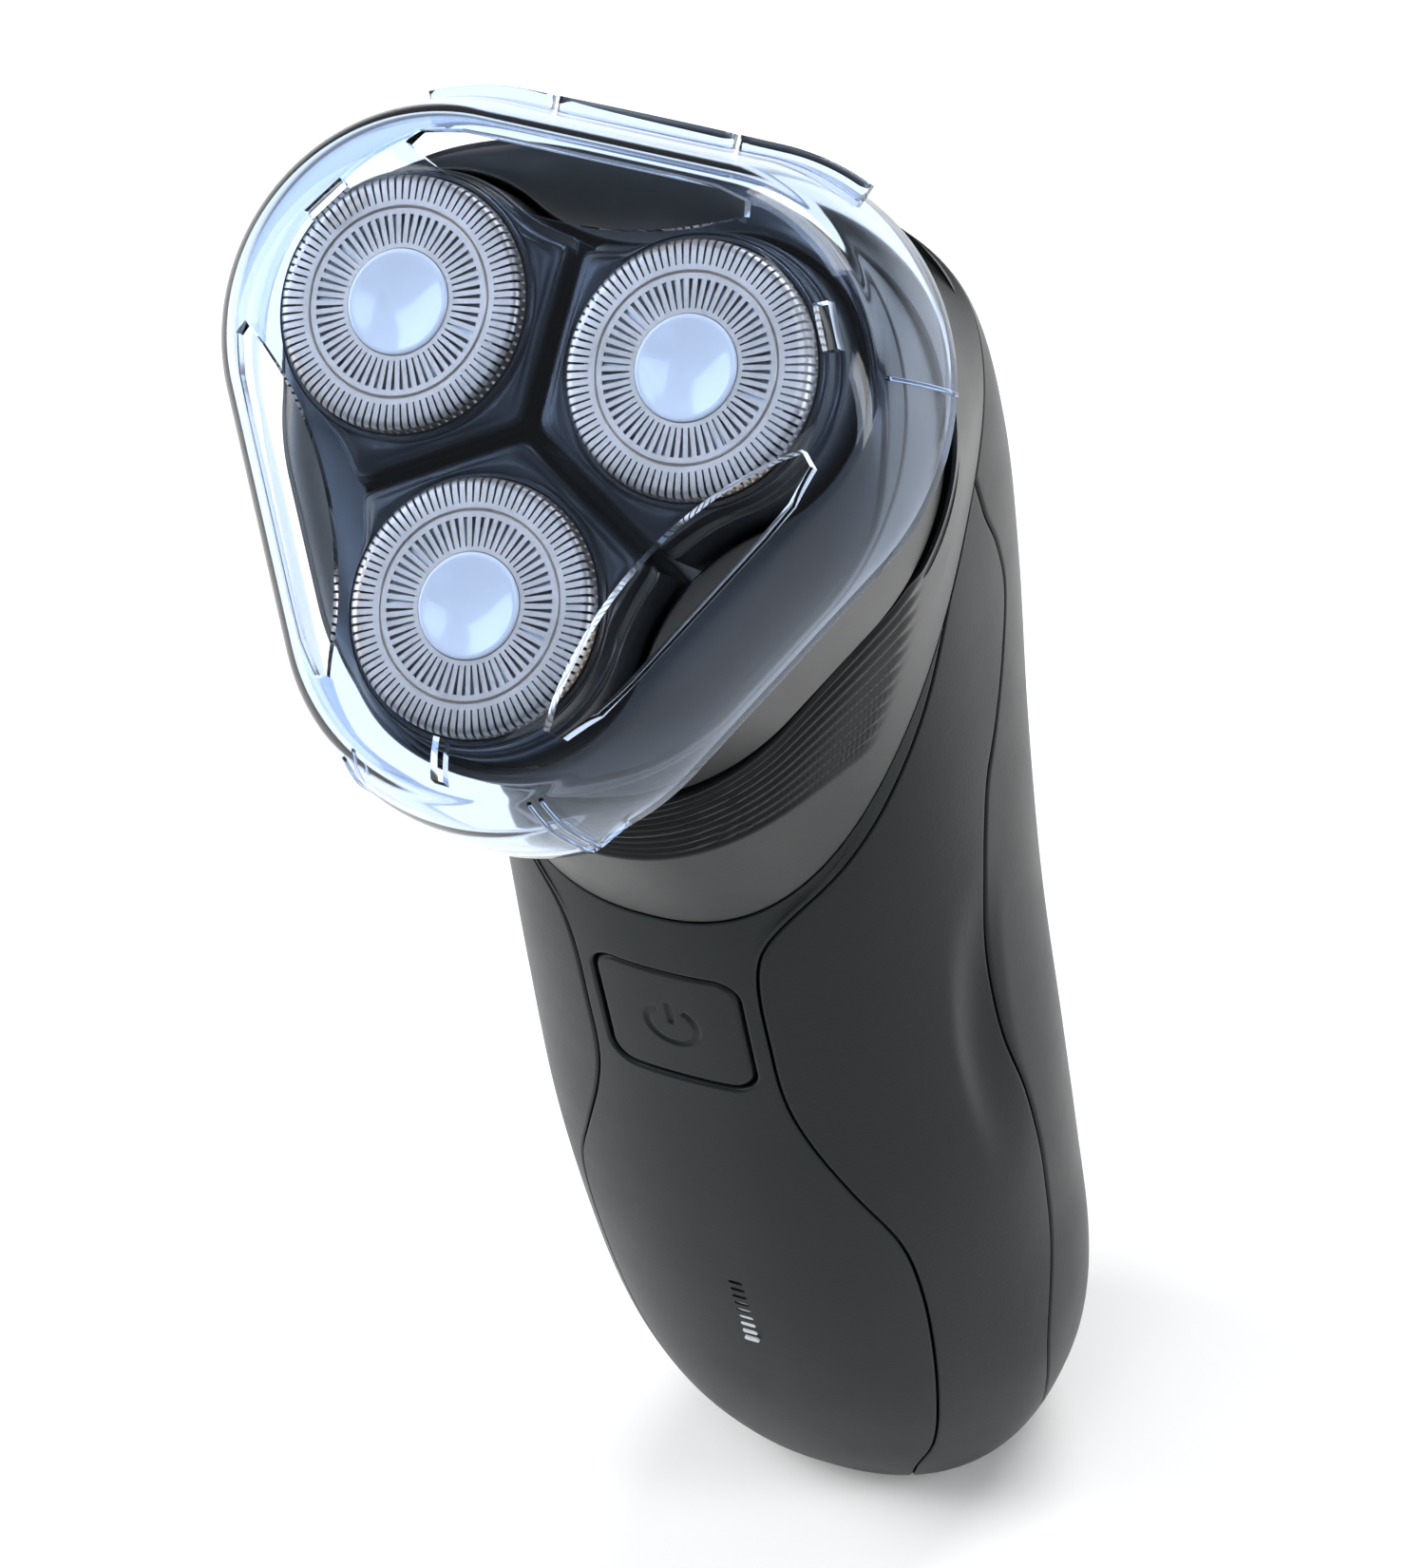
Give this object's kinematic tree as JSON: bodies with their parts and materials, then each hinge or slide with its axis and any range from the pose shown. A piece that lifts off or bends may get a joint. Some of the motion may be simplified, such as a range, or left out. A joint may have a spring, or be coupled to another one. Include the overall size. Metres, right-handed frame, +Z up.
{
  "type": "electric shaver",
  "caption": "Cordless rotary shaver: slim waisted handle with power button and charge bars, tilted head with round slotted foils in sprung pods, and a clear push-on travel cap.",
  "frame": {"origin": "mouth of the charging inlet, in the middle of the flat foot of the handle", "axes": "+Z up along the handle, front with the power button faces -Y, the user's right when facing the front is +X"},
  "size_m": [0.0636, 0.0774, 0.1727],
  "materials": {
    "soft_black": "soft-touch satin",
    "grip_black": "fine satin texture",
    "shell_black": "satin",
    "neck_black": "satin, ribbed",
    "head_black": "satin gloss",
    "foil_steel": "polished, slotted",
    "disc_white": "glossy",
    "cutter_steel": "ground",
    "clear_plastic": "clear moulded",
    "frame_grey": "moulded",
    "plate_zinc": "zinc plated",
    "pin_steel": "ground",
    "spring_steel": "drawn wire",
    "gear_nylon": "moulded nylon",
    "holder_grey": "moulded",
    "cell_wrap": "shrink wrap",
    "contact_brass": "plated",
    "board_green": "solder mask",
    "part_black": "moulded",
    "light_guide": "frosted"
  },
  "bodies": {
    "handle": {"front_panel": "soft_black", "grip_left": "grip_black", "grip_right": "grip_black", "back_shell": "shell_black", "foot_plate": "shell_black", "neck_housing": "neck_black", "gear_cover": "frame_grey", "gear_plate": "plate_zinc", "gear_pins": "pin_steel", "gear_screws": "pin_steel", "chassis": "frame_grey", "battery_cell": "cell_wrap", "cell_contacts": "contact_brass", "circuit_board": "board_green", "board_screws": "pin_steel", "tact_switch": "part_black", "light_guide": "light_guide", "charging_socket": "part_black", "motor_can": "plate_zinc"},
    "power_button": {"power_button": "soft_black"},
    "motor_rotor": {"motor_shaft": "pin_steel", "motor_pinion": "gear_nylon"},
    "drive_spindle_1": {"drive_gear_1": "gear_nylon", "spindle_spring_1": "spring_steel"},
    "drive_spindle_2": {"drive_gear_2": "gear_nylon", "spindle_spring_2": "spring_steel"},
    "drive_spindle_3": {"drive_gear_3": "gear_nylon", "spindle_spring_3": "spring_steel"},
    "shaving_unit": {"hair_chamber": "head_black", "head_deck": "head_black", "cutter_holder": "holder_grey", "holder_knob": "holder_grey"},
    "pod_1": {"pod_1": "head_black", "foil_1": "foil_steel", "foil_cap_1": "disc_white"},
    "pod_2": {"pod_2": "head_black", "foil_2": "foil_steel", "foil_cap_2": "disc_white"},
    "pod_3": {"pod_3": "head_black", "foil_3": "foil_steel", "foil_cap_3": "disc_white"},
    "cutter_1": {"cutter_1": "cutter_steel"},
    "cutter_2": {"cutter_2": "cutter_steel"},
    "cutter_3": {"cutter_3": "cutter_steel"},
    "clear_cap": {"clear_cap": "clear_plastic"}
  },
  "joints": [
    {"name": "button_press", "type": "slide", "parent": "handle", "child": "power_button", "axis": [0, 1, 0], "range_m": [0, 0.0008], "stiffness_N_per_m": 400, "springref_m": -0.0006},
    {"name": "motor_spin", "type": "hinge", "parent": "handle", "child": "motor_rotor", "pos_m": [0, -0.00135, 0.12851], "axis": [0, -0.5736, 0.8192], "continuous": true},
    {"name": "spindle_1_spin", "type": "hinge", "parent": "handle", "child": "drive_spindle_1", "pos_m": [-0.01303, 0.00194, 0.13692], "axis": [0, -0.5736, 0.8192], "continuous": true},
    {"name": "spindle_2_spin", "type": "hinge", "parent": "handle", "child": "drive_spindle_2", "pos_m": [0.01303, 0.00194, 0.13692], "axis": [0, -0.5736, 0.8192], "continuous": true},
    {"name": "spindle_3_spin", "type": "hinge", "parent": "handle", "child": "drive_spindle_3", "pos_m": [0, -0.01654, 0.12398], "axis": [0, -0.5736, 0.8192], "continuous": true},
    {"name": "unit_lift", "type": "slide", "parent": "handle", "child": "shaving_unit", "axis": [0, -0.5736, 0.8192], "range_m": [0, 0.03]},
    {"name": "pod_1_tilt", "type": "hinge", "parent": "shaving_unit", "child": "pod_1", "pos_m": [-0.01303, -0.01068, 0.15494], "axis": [-0.5, -0.7094, -0.4967], "range_deg": [-3, 3], "stiffness_Nm_per_rad": 0.12},
    {"name": "pod_2_tilt", "type": "hinge", "parent": "shaving_unit", "child": "pod_2", "pos_m": [0.01303, -0.01068, 0.15494], "axis": [-0.5, 0.7094, 0.4967], "range_deg": [-3, 3], "stiffness_Nm_per_rad": 0.12},
    {"name": "pod_3_tilt", "type": "hinge", "parent": "shaving_unit", "child": "pod_3", "pos_m": [0, -0.02916, 0.142], "axis": [1, 0, 0], "range_deg": [-3, 3], "stiffness_Nm_per_rad": 0.12},
    {"name": "cutter_1_spin", "type": "hinge", "parent": "pod_1", "child": "cutter_1", "pos_m": [-0.01303, -0.01297, 0.15822], "axis": [0, -0.5736, 0.8192], "continuous": true},
    {"name": "cutter_2_spin", "type": "hinge", "parent": "pod_2", "child": "cutter_2", "pos_m": [0.01303, -0.01297, 0.15822], "axis": [0, -0.5736, 0.8192], "continuous": true},
    {"name": "cutter_3_spin", "type": "hinge", "parent": "pod_3", "child": "cutter_3", "pos_m": [0, -0.03146, 0.14527], "axis": [0, -0.5736, 0.8192], "continuous": true},
    {"name": "cap_lift", "type": "slide", "parent": "shaving_unit", "child": "clear_cap", "axis": [0, -0.5736, 0.8192], "range_m": [0, 0.035]}
  ],
  "couplings": [
    {"joint": "spindle_1_spin", "follows": "motor_spin", "ratio": -0.65385},
    {"joint": "spindle_2_spin", "follows": "motor_spin", "ratio": -0.65385},
    {"joint": "spindle_3_spin", "follows": "motor_spin", "ratio": -0.65385},
    {"joint": "cutter_1_spin", "follows": "motor_spin", "ratio": -0.65385},
    {"joint": "cutter_2_spin", "follows": "motor_spin", "ratio": -0.65385},
    {"joint": "cutter_3_spin", "follows": "motor_spin", "ratio": -0.65385}
  ]
}
